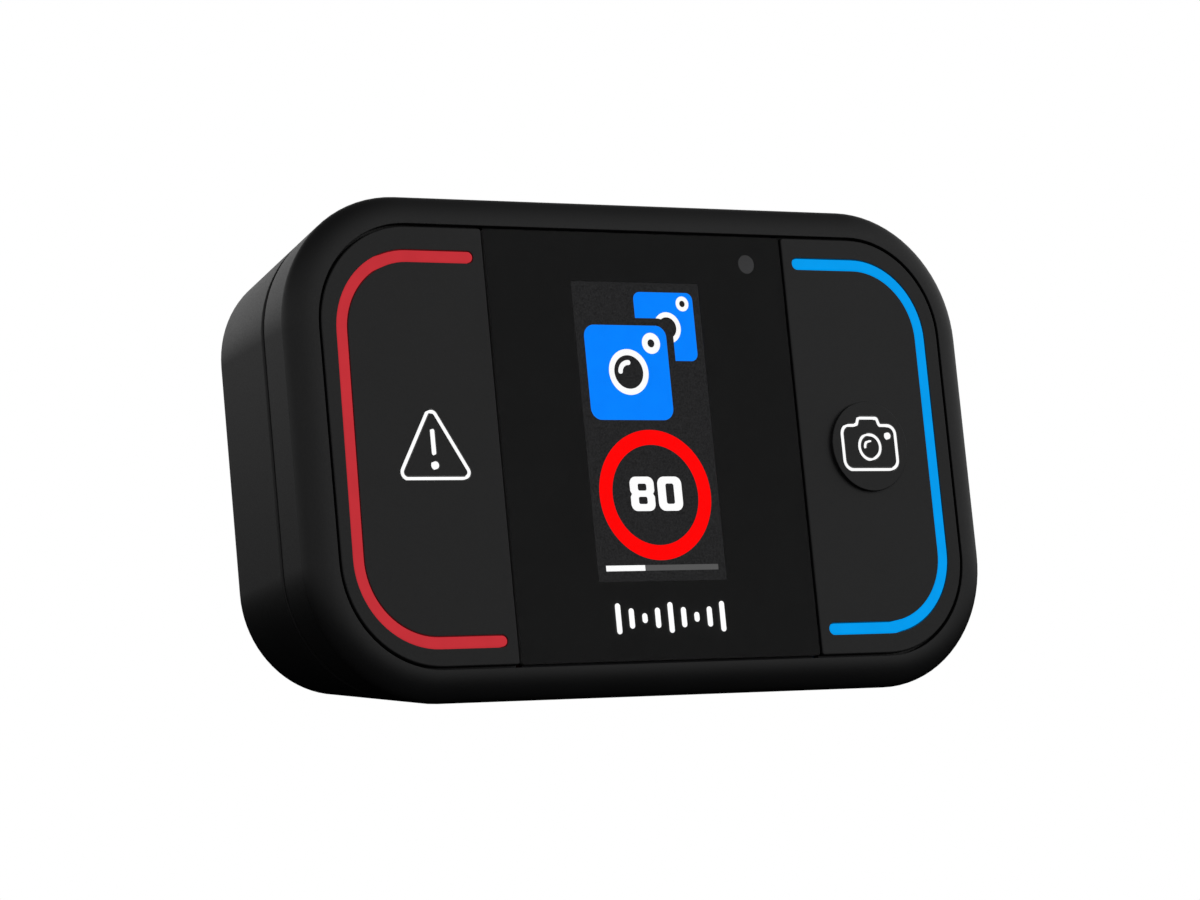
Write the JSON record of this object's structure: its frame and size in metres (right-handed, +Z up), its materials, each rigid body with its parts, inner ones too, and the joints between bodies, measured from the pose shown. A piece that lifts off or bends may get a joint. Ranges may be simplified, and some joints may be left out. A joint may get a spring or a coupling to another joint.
{
  "type": "dashboard traffic alarm",
  "caption": "Compact leaning traffic alarm with a smoked display window between two large push keys, each with a light bar and a symbol.",
  "frame": {"origin": "middle of the bounding box, at the level of the flat underside that the case stands on", "axes": "+Z up; X along the width, to the right when the face is seen from the front; +Y from the face towards the back, and the face leans back by 10.2 degrees"},
  "size_m": [0.057, 0.02, 0.0351],
  "materials": {
    "case_black": "fine moulded texture, matt",
    "key_black": "very fine texture, matt",
    "window_smoke": "smoked, satin",
    "tape_black": "matt",
    "carrier_black": "matt",
    "guide_red": "translucent, lit",
    "guide_blue": "translucent, lit",
    "icon_white": "translucent, lit",
    "display_glass": "smooth",
    "backlight_white": "satin",
    "flex_amber": "satin",
    "connector_cream": "matt",
    "board_green": "solder mask, satin",
    "chip_black": "matt",
    "shield_metal": "brushed",
    "ceramic": "matt",
    "pipe_clear": "clear",
    "lamp": "satin",
    "stem_black": "matt",
    "socket_steel": "satin",
    "battery_foil": "satin foil",
    "foam_grey": "open cell",
    "lead_red": "satin",
    "lead_black": "satin",
    "speaker_metal": "satin",
    "cone_black": "matt",
    "magnet_nickel": "plated",
    "screw_steel": "blackened",
    "pad_rubber": "matt"
  },
  "bodies": {
    "housing": {"front_frame": "case_black", "rear_shell": "case_black", "front_window": "window_smoke", "window_tape": "tape_black", "inner_carrier": "carrier_black", "display_cell": "display_glass", "display_backlight": "backlight_white", "display_flex": "flex_amber", "display_connector": "connector_cream", "main_board": "board_green", "controller_chip": "chip_black", "radio_shield": "shield_metal", "chip_antenna": "ceramic", "light_pipe": "pipe_clear", "light_sensor": "chip_black", "left_leds": "lamp", "right_leds": "lamp", "left_switch": "shield_metal", "right_switch": "shield_metal", "usb_socket": "socket_steel", "usb_tongue": "chip_black", "battery": "battery_foil", "battery_foam": "foam_grey", "battery_connector": "connector_cream", "battery_leads": "lead_red", "speaker": "speaker_metal", "speaker_cone": "cone_black", "speaker_gasket": "tape_black", "speaker_leads": "lead_black", "holding_magnets": "magnet_nickel", "case_screws": "screw_steel", "rear_pad": "pad_rubber"},
    "left_key": {"left_key": "key_black", "left_light_guide": "guide_red", "warning_icon": "icon_white"},
    "left_stem": {"left_stem": "stem_black"},
    "right_key": {"right_key": "key_black", "right_light_guide": "guide_blue", "camera_icon": "icon_white"},
    "right_stem": {"right_stem": "stem_black"}
  },
  "joints": [
    {"name": "left_key_press", "type": "slide", "parent": "housing", "child": "left_key", "axis": [0, 0.9842, -0.1771], "range_m": [0, 0.0004], "stiffness_N_per_m": 3000},
    {"name": "left_stem_press", "type": "slide", "parent": "housing", "child": "left_stem", "axis": [0, 0.9842, -0.1771], "range_m": [0, 0.0004]},
    {"name": "right_key_press", "type": "slide", "parent": "housing", "child": "right_key", "axis": [0, 0.9842, -0.1771], "range_m": [0, 0.0004], "stiffness_N_per_m": 3000},
    {"name": "right_stem_press", "type": "slide", "parent": "housing", "child": "right_stem", "axis": [0, 0.9842, -0.1771], "range_m": [0, 0.0004]}
  ],
  "couplings": [
    {"joint": "left_stem_press", "follows": "left_key_press", "ratio": 1},
    {"joint": "right_stem_press", "follows": "right_key_press", "ratio": 1}
  ]
}
